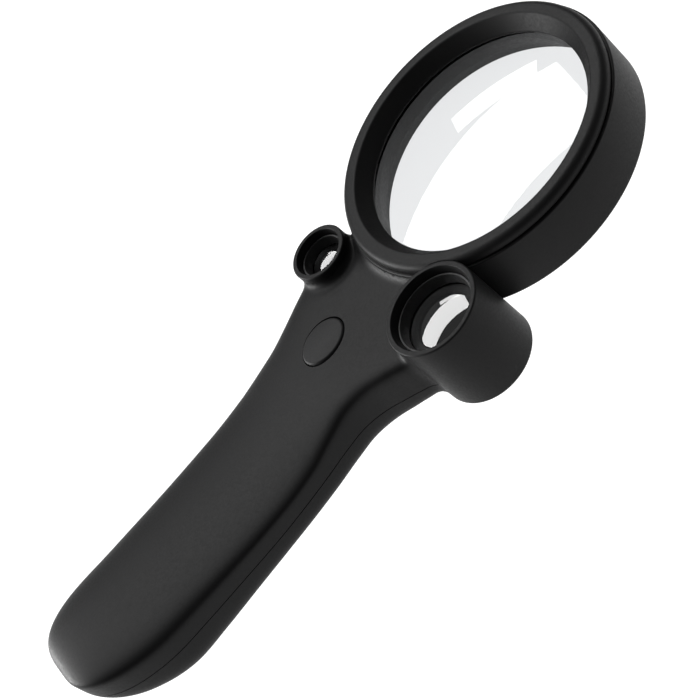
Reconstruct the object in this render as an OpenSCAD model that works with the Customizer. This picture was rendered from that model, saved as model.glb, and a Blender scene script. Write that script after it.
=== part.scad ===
// Hand-held illuminated magnifier: one large lens in a ring, two small loupes in
// tubes beside the neck, a push button and a battery handle.
// Millimetres. The origin is on the main lens axis, in the plane of the ring's rear
// mouth. +Z points out of the front of the lenses and -Y runs down the handle.

/* [Main ring] */
// Outer radius of the ring around the main lens
ring_r = 44; // [43:0.5:45]
// Height of the ring from its rear mouth to its front lip
ring_h = 20.2; // [19.8:0.1:20.6]
// Radius of the clear opening in front of the main lens
aperture_r = 35.2; // [34:0.1:35.4]
// Radius of the rear mouth
rear_mouth_r = 37; // [36.9:0.1:37.2]
// Depth of the rear mouth
rear_mouth_depth = 4; // [3:0.5:4]

/* [Loupe tubes] */
// Height of the large tube's front lip above the ring's rear mouth
large_front_z = 20.2; // [20:0.1:20.4]
// Height of the small tube's front lip above the ring's rear mouth
small_front_z = 18.4; // [18:0.1:18.8]
// Height of both tubes' rear ends, which the magnifier rests on
rest_z = -7; // [-7.2:0.1:-6.8]
// Outer radius of the large tube
large_r = 14.2; // [14.1:0.1:14.4]
// Sideways place of the large tube's axis
large_x = 33.1; // [33:0.1:33.4]
// Place of the large tube's axis along the handle
large_y = -44.9; // [-45.4:0.1:-44.7]
// Outer radius of the small tube
small_r = 9; // [8.8:0.1:9.2]
// Sideways place of the small tube's axis
small_x = -21.6; // [-22:0.1:-21.4]
// Place of the small tube's axis along the handle
small_y = -50.6; // [-51:0.1:-50.4]

/* [Handle] */
// Wall thickness of the two handle shells
wall = 2; // [1.8:0.1:2.2]
// Height of the flat face around the button
deck_z = 14.3; // [14.1:0.1:14.5]
// Height where the two shells meet, along the neck
parting_z = 2.2; // [2:0.1:2.4]
// Height where the two shells meet, at the tail
parting_tail_z = 6.4; // [6:0.1:6.6]
// Gap between the two shells
parting_gap = 0.1; // [0.05:0.05:0.2]

/* [Button] */
// Place of the button along the handle
button_y = -69.2; // [-69.6:0.1:-68.8]
// Half width of the button's opening, across the handle
button_rx = 6.9; // [6.7:0.1:7.1]
// Half length of the button's opening, along the handle
button_ry = 7.9; // [7.7:0.1:8.1]
// Gap all round the button cap
button_gap = 0.35; // [0.3:0.05:0.4]

/* [Battery compartment] */
// Diameter of one AAA cell
cell_d = 10.5; // [10.3:0.1:10.5]
// Length of one AAA cell
cell_l = 44.5; // [44:0.5:44.5]
// Distance between the axes of two cells
cell_pitch = 10.8; // [10.7:0.1:10.9]
// Edge of the battery door nearest the lenses
door_head_y = -98; // [-98:0.5:-97]
// Length of the battery door
door_l = 58; // [56:1:58]
// Half width of the battery door
door_half_w = 16.6; // [16.4:0.1:17]
// Gap all round the battery door
door_gap = 0.35; // [0.3:0.05:0.4]

/* [Hidden] */

$fn = 96;
cut = 0.01;              // overlap that keeps subtracted faces apart
fit = 0.1;               // gap between pieces that are fixed to each other
tall = 80;               // longer than any cut through the magnifier

black = "#1c1c1d";
inner_black = "#111112";
clear = [0.86, 0.91, 0.93, 0.35];

// Ring
ring_wall_t = 3;                        // thickness of the ring's side wall
ring_wall_top = ring_h - 3.2;           // where the side wall stops under the bezel
bezel_r = ring_r - 0.8;                 // the bezel stands in from the wall
lip_round = 2.2;                        // rounding of the bezel's lip
lip_band = 4.6;                         // width of the lip seen from the front
lens_flange_r = 38.2;                   // edge of the main lens
lens_optic_r = 36.3;                    // edge of the curved faces
lens_seat_z = 11.8;                     // rear face of the lens flange
lens_flange_t = 2.4;
main_sag = 5.2;                         // how far each face bulges
led_r = 1.5;                            // radius of a 3 mm lamp
led_circle_r = 38.95;                   // radius on which the two main lamps sit
led_spread = 17;                        // angle of each lamp from the handle's line

// Loupes
large_bore_r = 12;
large_mouth_r = 12.4;
small_bore_r = 7.2;
small_mouth_r = 7.5;
mouth_depth = 3;
large_lens_z = 12.2;
small_lens_z = 10.6;
loupe_flange_t = 2;

// Handle sections, from the tail to the neck: place along the handle, half width,
// height of the crown, height of the back and radius of the lower corners
SECTIONS = [
    [-186.6, 3.0, 8.4, 5.0, 1.4],
    [-185.6, 6.4, 10.4, 3.2, 2.6],
    [-183, 10.4, 12.6, 0.8, 4.4],
    [-179, 14.0, 14.2, -1.4, 6.6],
    [-173, 17.2, 15.2, -3.6, 8.4],
    [-166, 19.4, 15.4, -5.4, 9.6],
    [-158, 20.9, 14.8, -6.6, 10.6],
    [-148, 21.8, 13.4, rest_z, 11],
    [-136, 22.2, 11.8, rest_z, 11],
    [-122, 22.5, 10.0, rest_z, 11],
    [-110, 22.8, 9.2, rest_z, 11],
    [-98, 22.5, 9.8, rest_z, 11],
    [-88, 21.5, 11.3, rest_z, 11],
    [-80, 21.3, 12.8, rest_z, 10.6],
    [-73, 22.2, 14.0, rest_z + 0.3, 10],
    [-66, 24.0, deck_z, rest_z + 0.8, 9],
    [-58, 26.6, deck_z, rest_z + 1.6, 8]
];
PARTING_BEND_Y = -115;
TAIL_Y = -190;
CORNER_STEPS = 5;
CROWN_STEPS = 9;
LENS_STEPS = 12;
CROWN_POWER = 2.7;                      // higher is squarer over the top

// Web between the handle, the two tubes and the ring
web_back_z = rest_z + 2.4;
web_head_y = -36;

// Inside
board_z = 4.4;
board_t = 1.6;
board_head_y = -58;
board_tail_y = -94;
board_half_w = 11;
cell_z = rest_z + wall + 0.4 + cell_d / 2;
cell_head_y = -101.6;
cell_tail_y = cell_head_y - cell_l;
flange_z = deck_z - wall - 2.4;          // underside of the cap's flange
wire_r = 0.6;
screw_spots = [[0, -162], [-16.5, -86], [16.5, -86]];
screw_head_z = rest_z + 2.6;            // lowest face of the screw heads
screw_seat_z = screw_head_z + 1.8;
board_screw_spots = [[-8.5, -90.5], [8.5, -90.5]];
screw_shaft_r = 1.45;
screw_head_r = 2.8;
screw_boss_r = 3.2;

function sphere_r(edge, sag) = (edge * edge + sag * sag) / (2 * sag);

// Half outline of one handle section, from the middle of the back, round the lower
// corner and over the crown to just short of the middle
function half_section(s, t) =
    let (w = s[1] - t, top = s[2] - t, back = s[3] + t, r = max(s[4] - t, 0.6))
    concat(
        [for (i = [0:CORNER_STEPS])
            let (a = -90 + 90 * i / CORNER_STEPS)
            [w - r + r * cos(a), back + r + r * sin(a)]],
        [for (i = [1:CROWN_STEPS])
            let (a = 90 * i / CROWN_STEPS)
            [w * pow(cos(a), 2 / CROWN_POWER), back + r + (top - back - r) * pow(sin(a), 2 / CROWN_POWER)]]
    );

function full_section(s, t) =
    let (h = half_section(s, t), n = len(h))
    concat(h, [for (i = [n - 2:-1:0]) [-h[i][0], h[i][1]]]);

// Closed solid through all handle sections, drawn in by t, from section first to last
module handle_loft(t, first, last) {
    rings = [for (k = [first:last])
        let (s = SECTIONS[k], y = s[0] + (k == first ? t : 0))
        [for (p = full_section(s, t)) [p[0], y, p[1]]]];
    m = len(rings[0]);
    n = len(rings);
    points = [for (ring = rings) for (p = ring) p];
    sides = [for (k = [0:n - 2]) for (i = [0:m - 1])
        let (j = (i + 1) % m, a = k * m + i, b = k * m + j, c = a + m, d = b + m)
        each [[a, d, c], [a, b, d]]];
    ends = [[for (i = [m - 1:-1:0]) i], [for (i = [0:m - 1]) (n - 1) * m + i]];
    polyhedron(points, concat(sides, ends), convexity = 6);
}

// Round tube swept along a list of points, for leads and springs
module swept_tube(path, r, sides = 8) {
    n = len(path);
    rings = [for (k = [0:n - 1])
        let (ahead = path[min(k + 1, n - 1)] - path[max(k - 1, 0)],
             u = ahead / norm(ahead),
             side = cross(u, abs(u[2]) > 0.9 ? [0, 1, 0] : [0, 0, 1]),
             v = side / norm(side),
             w = cross(u, v))
        [for (i = [0:sides - 1])
            let (a = 360 * i / sides)
            path[k] + r * cos(a) * v + r * sin(a) * w]];
    points = [for (ring = rings) for (p = ring) p];
    faces = [for (k = [0:n - 2]) for (i = [0:sides - 1])
        let (j = (i + 1) % sides, a = k * sides + i, b = k * sides + j)
        each [[a, b + sides, b], [a, a + sides, b + sides]]];
    ends = [[for (i = [0:sides - 1]) i], [for (i = [sides - 1:-1:0]) (n - 1) * sides + i]];
    polyhedron(points, concat(faces, ends), convexity = 10);
}

module at_large() { translate([large_x, large_y, 0]) children(); }
module at_small() { translate([small_x, small_y, 0]) children(); }

module bar(r, z0, z1) { translate([0, 0, z0]) cylinder(r = r, h = z1 - z0); }

module block(low, high) { translate(low) cube(high - low); }

// Two domed faces on a flat flange
module lens_solid(flange_r, optic_r, seat_z, flange_t, sag) {
    ball = sphere_r(optic_r, sag);
    dome = [for (i = [0:LENS_STEPS])
        let (r = optic_r * (1 - i / LENS_STEPS))
        [r, sqrt(ball * ball - r * r) - ball + sag]];
    rear = [for (i = [LENS_STEPS:-1:0]) [dome[i][0], seat_z - dome[i][1]]];
    front = [for (p = dome) [p[0], seat_z + flange_t + p[1]]];
    rotate_extrude()
    polygon(concat(rear, [[flange_r, seat_z], [flange_r, seat_z + flange_t]], front));
}

// 3 mm lamp that shines towards -Z
module lamp(z_tip, z_base) {
    bar(led_r, z_tip + led_r, z_base - 1);
    translate([0, 0, z_tip + led_r]) sphere(r = led_r);
    bar(led_r + 0.1, z_base - 1, z_base);
}

module at_main_lamp(side) {
    rotate([0, 0, -90 + side * led_spread]) translate([led_circle_r, 0, 0]) children();
}

module lens_ring_wall() {
    color(black)
    difference() {
        rotate_extrude()
        polygon([
            [ring_r - ring_wall_t, 0], [ring_r - 1.2, 0], [ring_r - 0.35, 0.35], [ring_r, 1.2],
            [ring_r, ring_wall_top - 0.5], [ring_r - 0.5, ring_wall_top],
            [ring_r - ring_wall_t, ring_wall_top]
        ]);
        at_large() bar(large_bore_r, -tall, tall);
    }
}

module main_bezel() {
    color(black)
    difference() {
        rotate_extrude()
        polygon(concat(
            [[lens_optic_r + 0.2, lens_seat_z + lens_flange_t + fit],
             [ring_r - ring_wall_t - fit, lens_seat_z + lens_flange_t + fit],
             [ring_r - ring_wall_t - fit, ring_wall_top + fit],
             [bezel_r, ring_wall_top + fit]],
            [for (a = [0:15:90])
                [bezel_r - lip_round + lip_round * cos(a), ring_h - lip_round + lip_round * sin(a)]],
            [[bezel_r - lip_band + 0.6, ring_h], [bezel_r - lip_band, ring_h - 0.6],
             [aperture_r, lens_seat_z + lens_flange_t + 1.6],
             [aperture_r, lens_seat_z + lens_flange_t + 0.9]]
        ));
        at_large() bar(large_r + fit, -tall, tall);
    }
}

module main_lens() {
    color(clear)
    lens_solid(lens_flange_r, lens_optic_r, lens_seat_z, lens_flange_t, main_sag);
}

module main_lens_carrier() {
    color(black)
    difference() {
        bar(ring_r - ring_wall_t - fit, 0, lens_seat_z - fit);
        bar(rear_mouth_r, -cut, rear_mouth_depth);
        bar(lens_optic_r + 0.3, rear_mouth_depth - cut, lens_seat_z);
        for (side = [-1, 1]) at_main_lamp(side) bar(led_r + 0.15, -cut, 8.5);
    }
}

module main_led_left() { color("white") at_main_lamp(-1) lamp(0.5, 7); }
module main_led_right() { color("white") at_main_lamp(1) lamp(0.5, 7); }

// Tube with a recess at the front for the retainer, a shelf for the lens and a rear mouth
module barrel(r, bore_r, mouth_r, lens_z, front_z) {
    lip_r = r - 1.5;
    difference() {
        rotate_extrude()
        polygon([[0, rest_z], [r - 0.8, rest_z], [r, rest_z + 0.8], [r, front_z - 0.5],
                 [r - 0.5, front_z], [0, front_z]]);
        bar(mouth_r, rest_z - cut, rest_z + mouth_depth);
        bar(bore_r - 1.2, rest_z, front_z);
        bar(bore_r, rest_z + mouth_depth - cut, lens_z - 1.5);
        bar(bore_r, lens_z, front_z);
        translate([0, 0, front_z - 2]) cylinder(r1 = bore_r, r2 = lip_r, h = 2 + cut);
    }
}

// Ring that holds the lens down; its inner wall narrows towards the lens
module retainer(r_out, r_lens, r_front, z0, z1) {
    difference() {
        bar(r_out, z0, z1);
        translate([0, 0, z0 - cut]) cylinder(r1 = r_lens, r2 = r_front, h = z1 - z0 + 2 * cut);
    }
}

// Stepped blade across one side of the bore that carries the lamp
module lamp_bracket(bore_r, z0, reach) {
    intersection() {
        bar(bore_r - fit, z0, z0 + 5);
        union() {
            block([-bore_r, -bore_r, z0], [bore_r, -bore_r + reach, z0 + 1.2]);
            block([-led_r - 1.4, -bore_r, z0], [led_r + 1.4, -bore_r + reach, z0 + 5]);
        }
    }
}

module large_loupe_barrel() {
    color(black)
    difference() {
        at_large() barrel(large_r, large_bore_r, large_mouth_r, large_lens_z, large_front_z);
        bar(ring_r, 0, ring_wall_top + fit);
    }
}

module large_loupe_lens() {
    color(clear)
    at_large() lens_solid(large_bore_r - fit, large_bore_r - 1.3, large_lens_z, loupe_flange_t, 2.6);
}

module large_loupe_retainer() {
    color(inner_black)
    at_large()
    retainer(large_bore_r - fit, large_bore_r - 1.3, large_bore_r - 0.7,
             large_lens_z + loupe_flange_t + fit, large_front_z - 2.4);
}

module large_loupe_led_bracket() {
    color(inner_black)
    at_large() difference() {
        lamp_bracket(large_bore_r, rest_z + mouth_depth + 0.3, 5.6);
        translate([0, -large_bore_r + 3.2, 0]) bar(led_r + 0.2, rest_z, large_lens_z);
    }
}

module large_loupe_led() {
    color("white")
    at_large() translate([0, -large_bore_r + 3.2, 0])
    lamp(rest_z + mouth_depth + 0.4, rest_z + mouth_depth + 5.6);
}

module small_loupe_barrel() {
    color(black)
    at_small() barrel(small_r, small_bore_r, small_mouth_r, small_lens_z, small_front_z);
}

module small_loupe_lens() {
    color(clear)
    at_small() lens_solid(small_bore_r - fit, small_bore_r - 1.3, small_lens_z, loupe_flange_t, 2.2);
}

module small_loupe_retainer() {
    color(inner_black)
    at_small()
    retainer(small_bore_r - fit, small_bore_r - 1.3, small_bore_r - 0.8,
             small_lens_z + loupe_flange_t + fit, small_front_z - 2.4);
}

module small_loupe_led_bracket() {
    color(inner_black)
    at_small() difference() {
        lamp_bracket(small_bore_r, rest_z + mouth_depth + 0.3, 4.4);
        translate([0, -small_bore_r + 2.4, 0]) bar(led_r + 0.2, rest_z, small_lens_z);
    }
}

module small_loupe_led() {
    color("white")
    at_small() translate([0, -small_bore_r + 2.4, 0])
    lamp(rest_z + mouth_depth + 0.4, rest_z + mouth_depth + 5.6);
}

// Plan of the web, drawn in by t
module web_plan(t) {
    hull() {
        translate([small_x, small_y]) circle(r = small_r - 1.5 - t, $fn = 32);
        translate([large_x, large_y]) circle(r = large_r - 2 - t, $fn = 32);
        translate([-25 + t, -61 - t]) square([50 - 2 * t, 2]);
        translate([-18 + t, web_head_y - 2]) square([36 - 2 * t, 2 - t]);
    }
}

module web(t, low, high) { translate([0, 0, low]) linear_extrude(high - low) web_plan(t); }

module button_shape(grow, z0, z1) {
    translate([0, button_y, z0]) linear_extrude(z1 - z0)
    polygon([for (a = [0:10:350]) [(button_rx + grow) * cos(a), (button_ry + grow) * sin(a)]]);
}

module door_window(grow, z0, z1) {
    block([-door_half_w - grow, door_head_y - door_l - grow, z0],
          [door_half_w + grow, door_head_y + grow, z1]);
}

module handle_outside() {
    handle_loft(0, 0, len(SECTIONS) - 1);
    web(0, web_back_z, deck_z);
}

module handle_inside() {
    handle_loft(wall, 1, len(SECTIONS) - 1);
    difference() {
        web(wall, web_back_z + wall, deck_z - wall);
        bar(ring_r + wall, -tall, tall);
    }
}

// What both shells leave out for the ring and the tubes
module neighbours(gap) {
    bar(ring_r + gap, -tall, tall);
    at_large() bar(large_r + gap, -tall, tall);
    at_small() bar(small_r + gap, -tall, tall);
}

// Everything below the line where the shells meet, moved up by shift
module below_parting(shift) {
    rotate([90, 0, 90]) translate([0, 0, -tall]) linear_extrude(2 * tall)
    polygon([
        [tall, -tall], [tall, parting_z + shift], [PARTING_BEND_Y, parting_z + shift],
        [TAIL_Y, parting_tail_z + shift], [TAIL_Y, -tall]
    ]);
}

module handle_hollow() {
    difference() {
        handle_inside();
        at_large() bar(large_r + wall, -tall, tall);
        at_small() bar(small_r + wall, -tall, tall);
    }
}

module handle_front_shell() {
    color(black)
    difference() {
        union() {
            difference() {
                handle_outside();
                handle_hollow();
            }
            intersection() {
                handle_outside();
                union() {
                    for (p = screw_spots) translate([p[0], p[1], 0]) bar(screw_boss_r, parting_z, tall);
                    for (p = board_screw_spots) translate([p[0], p[1], 0]) bar(2.4, board_z + board_t, tall);
                }
            }
        }
        below_parting(0);
        neighbours(0);
        button_shape(0, 0, tall);
        for (p = screw_spots)
            translate([p[0], p[1], 0]) bar(screw_shaft_r + 0.05, parting_z - cut, screw_seat_z + 10);
        for (p = board_screw_spots)
            translate([p[0], p[1], 0]) bar(1.05, board_z, board_z + board_t + 2.6);
    }
}

module handle_rear_shell() {
    color(black)
    difference() {
        intersection() {
            below_parting(-parting_gap);
            union() {
                difference() {
                    handle_outside();
                    handle_hollow();
                }
                intersection() {
                    handle_outside();
                    for (p = screw_spots)
                        translate([p[0], p[1], 0]) bar(screw_boss_r, -tall, parting_tail_z);
                }
            }
        }
        neighbours(0);
        door_window(door_gap, -tall, parting_z - 1);
        for (p = screw_spots) translate([p[0], p[1], 0]) {
            bar(screw_shaft_r + 0.15, -tall, tall);
            bar(screw_head_r + 0.2, -tall, screw_seat_z);
        }
    }
}

module battery_door() {
    color(black) {
        intersection() {
            difference() {
                handle_loft(0, 0, len(SECTIONS) - 1);
                handle_loft(wall, 1, len(SECTIONS) - 1);
            }
            door_window(0, -tall, parting_z - 1.4);
        }
        // hinge tabs that reach under the rear shell
        for (x = [-8, 8])
            block([x - 2.5, door_head_y - 4, rest_z + wall - cut], [x + 2.5, door_head_y, rest_z + wall + 1]);
        // spring catch at the tail end
        block([-4, door_head_y - door_l, rest_z + wall - cut],
              [4, door_head_y - door_l + 1.2, rest_z + wall + 3.5]);
    }
}

module button_cap() {
    color(black) {
        button_shape(-button_gap, flange_z, deck_z + 0.3);
        intersection() {
            button_shape(-button_gap, deck_z, deck_z + 1.2);
            translate([0, button_y, deck_z + 0.9 - 60]) sphere(r = 60);
        }
        button_shape(0.9, flange_z, flange_z + 0.8);
    }
}

module switch_plunger() {
    color("gray")
    translate([0, button_y, 0]) bar(1.6, board_z + board_t + 1.6, flange_z);
}

module switch_body() {
    color("dimgray")
    difference() {
        block([-3, button_y - 3, board_z + board_t], [3, button_y + 3, board_z + board_t + 2.4]);
        translate([0, button_y, 0]) bar(1.65, board_z + board_t + 0.3, tall);
    }
}

module circuit_board() {
    color("darkgreen")
    difference() {
        block([-board_half_w, board_tail_y, board_z], [board_half_w, board_head_y, board_z + board_t]);
        for (p = board_screw_spots) translate([p[0], p[1], 0]) bar(1.2, 0, tall);
    }
}

module board_resistors() {
    color("tan")
    for (x = [-7, 7]) translate([x, -79, board_z + board_t + 1.1]) rotate([90, 0, 0])
    cylinder(r = 1.1, h = 6, center = true);
}

module board_screws() {
    color("silver")
    for (p = board_screw_spots) translate([p[0], p[1], 0]) {
        bar(1, board_z - fit, board_z + board_t + 2.4);
        bar(2, board_z - 1.2, board_z - fit);
    }
}

// Two cross walls that the contact plates stand against
module battery_end_walls() {
    color(inner_black)
    for (y = [cell_head_y + 2.8, cell_tail_y - 5.3])
        block([-14.4, y, cell_z - 4.4], [14.4, y + 1.1, cell_z + 4.4]);
}

// One cell along the handle, with its raised terminal towards the lenses when up is 1
module cell(x, up) {
    nub = 0.8;
    translate([x, up > 0 ? cell_tail_y : cell_head_y, cell_z]) rotate([up > 0 ? -90 : 90, 0, 0]) {
        cylinder(d = cell_d, h = cell_l - nub);
        cylinder(d = 3.8, h = cell_l);
    }
}

module battery_left() { color("silver") cell(-cell_pitch, 1); }
module battery_middle() { color("silver") cell(0, -1); }
module battery_right() { color("silver") cell(cell_pitch, 1); }

// Conical coil between a cell's flat end and its contact plate
module coil(x, y0, y1) {
    turns = 3;
    steps = 16 * turns;
    swept_tube([for (i = [0:steps])
        let (a = 360 * turns * i / steps, r = 2 + 1.6 * i / steps)
        [x + r * cos(a), y0 + (y1 - y0) * i / steps, cell_z + r * sin(a)]], 0.3, 6);
}

module battery_springs() {
    color("silver") {
        for (x = [-cell_pitch, cell_pitch]) coil(x, cell_tail_y - 0.4, cell_tail_y - 3.4);
        coil(0, cell_head_y + 0.4, cell_head_y + 2.0);
    }
}

module contact_plate(y) {
    block([-15, y - 0.2, cell_z - 4], [15, y + 0.2, cell_z + 4]);
}

module head_contact_plate() { color("silver") contact_plate(cell_head_y + 2.5); }
module tail_contact_plate() { color("silver") contact_plate(cell_tail_y - 3.9); }

// Lead from a contact plate, past the side of the board and onto its top
module battery_lead(side) {
    swept_tube([[side * 14.4, -97.2, 2.4], [side * 13.8, -95.6, 3.6], [side * 12.6, -93, 4.6],
                [side * 12.2, -88, 5.2], [side * 12.2, -84.6, 6.2], [side * 11.6, -82.6, 6.9],
                [side * 10.4, -81, 6.8], [side * 10.2, -78, 6.8]], wire_r);
}

module wire_positive() {
    color("red")
    battery_lead(1);
}

module wire_negative() {
    color("dimgray")
    battery_lead(-1);
}

module led_leads_main() {
    color("red")
    for (side = [-1, 1])
        swept_tube([[side * 4, -61, 6.7], [side * 5, -57, 7], [side * 7, -52, 7.4],
                    [side * 8, -49, 7.8], [side * 8.4, -46.8, 8]], wire_r);
}

module led_leads_loupes() {
    color("gold") {
        swept_tube([[8, -64, 6.8], [11.4, -63.6, 7], [14, -63, 5.8], [16, -62.4, 3.6],
                    [18, -61.4, 1]], wire_r);
        swept_tube([[-8, -67, 6.8], [-11.4, -67, 7], [-14, -66.6, 5.8], [-15.6, -66, 3.6],
                    [-16.6, -65.4, 1]], wire_r);
    }
}

module shell_screws() {
    color("silver")
    for (p = screw_spots) translate([p[0], p[1], 0]) difference() {
        union() {
            bar(screw_shaft_r, screw_seat_z, screw_seat_z + 9.6);
            bar(screw_head_r, screw_head_z, screw_seat_z);
        }
        for (a = [0, 90]) rotate([0, 0, a])
        block([-1.6, -0.35, screw_head_z - 1], [1.6, 0.35, screw_head_z + 1]);
    }
}

lens_ring_wall();
main_bezel();
main_lens();
main_lens_carrier();
main_led_left();
main_led_right();
large_loupe_barrel();
large_loupe_lens();
large_loupe_retainer();
large_loupe_led_bracket();
large_loupe_led();
small_loupe_barrel();
small_loupe_lens();
small_loupe_retainer();
small_loupe_led_bracket();
small_loupe_led();
handle_front_shell();
handle_rear_shell();
button_cap();
switch_plunger();
switch_body();
circuit_board();
board_resistors();
board_screws();
battery_end_walls();
battery_left();
battery_middle();
battery_right();
battery_springs();
head_contact_plate();
tail_contact_plate();
wire_positive();
wire_negative();
led_leads_main();
led_leads_loupes();
battery_door();
shell_screws();
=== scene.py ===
import logging
import math
from dataclasses import dataclass, field
from enum import Enum
from typing import Callable, Sequence

import bmesh
import bpy
import numpy as np
from mathutils import Euler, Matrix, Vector


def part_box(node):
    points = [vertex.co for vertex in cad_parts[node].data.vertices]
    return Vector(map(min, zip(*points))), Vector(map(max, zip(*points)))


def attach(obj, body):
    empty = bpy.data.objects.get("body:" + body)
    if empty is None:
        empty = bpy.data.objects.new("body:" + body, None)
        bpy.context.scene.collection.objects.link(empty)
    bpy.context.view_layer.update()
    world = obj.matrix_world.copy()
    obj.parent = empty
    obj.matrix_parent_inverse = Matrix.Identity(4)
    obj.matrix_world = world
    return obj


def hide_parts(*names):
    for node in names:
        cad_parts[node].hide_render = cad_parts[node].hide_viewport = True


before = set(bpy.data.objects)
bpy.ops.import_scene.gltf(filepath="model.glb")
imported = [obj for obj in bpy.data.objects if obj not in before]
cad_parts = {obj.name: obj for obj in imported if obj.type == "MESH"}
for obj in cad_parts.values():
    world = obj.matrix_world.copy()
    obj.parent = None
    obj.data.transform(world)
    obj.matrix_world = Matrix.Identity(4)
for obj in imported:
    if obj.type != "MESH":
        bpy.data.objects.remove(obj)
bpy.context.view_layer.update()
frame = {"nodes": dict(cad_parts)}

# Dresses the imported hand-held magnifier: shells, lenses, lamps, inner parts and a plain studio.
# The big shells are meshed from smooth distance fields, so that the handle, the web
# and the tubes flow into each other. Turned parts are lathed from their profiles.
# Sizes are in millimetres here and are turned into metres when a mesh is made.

MM = 0.001
LOG = logging.getLogger("magnifier")
TINY = 1e-6                 # keeps divisors above zero

DECK_Z = 14.3               # flat deck between the button and the ring
TAIL_INSET = 0.6            # the rounded tail stops this far inside the CAD tail
DOOR_TAIL_Y = -156.0
DOOR_HEAD_Y = -98.0
HEAD_SCREW_Y = -86.0
SCREW_HEAD_R = 2.8
BUTTON_FLANGE = 0.9         # how far the cap's hidden flange stands out
BUTTON_FLANGE_THICK = 0.8
THROUGH = (-20, 40)         # heights of a cut right through the head

Array = np.ndarray
Field = Callable[[Array], Array]
Point = tuple[float, float, float]


class Body(Enum):
    """The frame's bodies that pieces ride on."""

    ROOT = "root"
    BUTTON = "button"
    DOOR = "battery_door"


def cad_box_mm(node: str) -> tuple[Vector, Vector]:
    """Gives a CAD node's box in millimetres.

    Args:
        node: The node's name.

    Returns:
        The lowest and the highest corner.
    """
    low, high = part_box(node)
    return Vector(low) / MM, Vector(high) / MM


# ---------------------------------------------------------------- finishes


@dataclass(frozen=True)
class Finish:
    """A procedural finish with a grain that varies its colour, gloss and relief."""

    name: str
    colour: tuple[float, float, float]
    roughness: float
    roughness_spread: float = 0.05
    grain_scale: float = 900.0
    grain_height: float = 0.00002
    mottle_scale: float = 45.0
    mottle: float = 0.12
    metallic: float = 0.0
    coat: float = 0.0
    specular: float = 0.5

    def build(self) -> bpy.types.Material:
        """Makes the material with its nodes.

        Returns:
            The new material.
        """
        mat = bpy.data.materials.new(self.name)
        mat.use_nodes = True
        nodes, links = mat.node_tree.nodes, mat.node_tree.links
        shader = nodes["Principled BSDF"]
        shader.inputs["Metallic"].default_value = self.metallic
        shader.inputs["Coat Weight"].default_value = self.coat
        shader.inputs["Coat Roughness"].default_value = 0.12
        shader.inputs["Specular IOR Level"].default_value = self.specular
        place = nodes.new("ShaderNodeTexCoord")
        mottle = nodes.new("ShaderNodeTexNoise")
        mottle.inputs["Scale"].default_value = self.mottle_scale
        mottle.inputs["Detail"].default_value = 5.0
        grain = nodes.new("ShaderNodeTexNoise")
        grain.inputs["Scale"].default_value = self.grain_scale
        grain.inputs["Detail"].default_value = 3.0
        links.new(place.outputs["Object"], mottle.inputs["Vector"])
        links.new(place.outputs["Object"], grain.inputs["Vector"])
        tone = nodes.new("ShaderNodeMapRange")
        tone.inputs["To Min"].default_value = 1.0 - self.mottle
        tone.inputs["To Max"].default_value = 1.0 + self.mottle
        links.new(mottle.outputs["Fac"], tone.inputs["Value"])
        colour = nodes.new("ShaderNodeVectorMath")
        colour.operation = "SCALE"
        colour.inputs[0].default_value = self.colour
        links.new(tone.outputs["Result"], colour.inputs["Scale"])
        links.new(colour.outputs["Vector"], shader.inputs["Base Color"])
        gloss = nodes.new("ShaderNodeMapRange")
        gloss.inputs["From Min"].default_value = 0.3
        gloss.inputs["From Max"].default_value = 0.7
        gloss.inputs["To Min"].default_value = self.roughness - self.roughness_spread
        gloss.inputs["To Max"].default_value = self.roughness + self.roughness_spread
        links.new(grain.outputs["Fac"], gloss.inputs["Value"])
        links.new(gloss.outputs["Result"], shader.inputs["Roughness"])
        bump = nodes.new("ShaderNodeBump")
        bump.inputs["Strength"].default_value = 0.35
        bump.inputs["Distance"].default_value = self.grain_height
        links.new(grain.outputs["Fac"], bump.inputs["Height"])
        links.new(bump.outputs["Normal"], shader.inputs["Normal"])
        return mat


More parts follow.
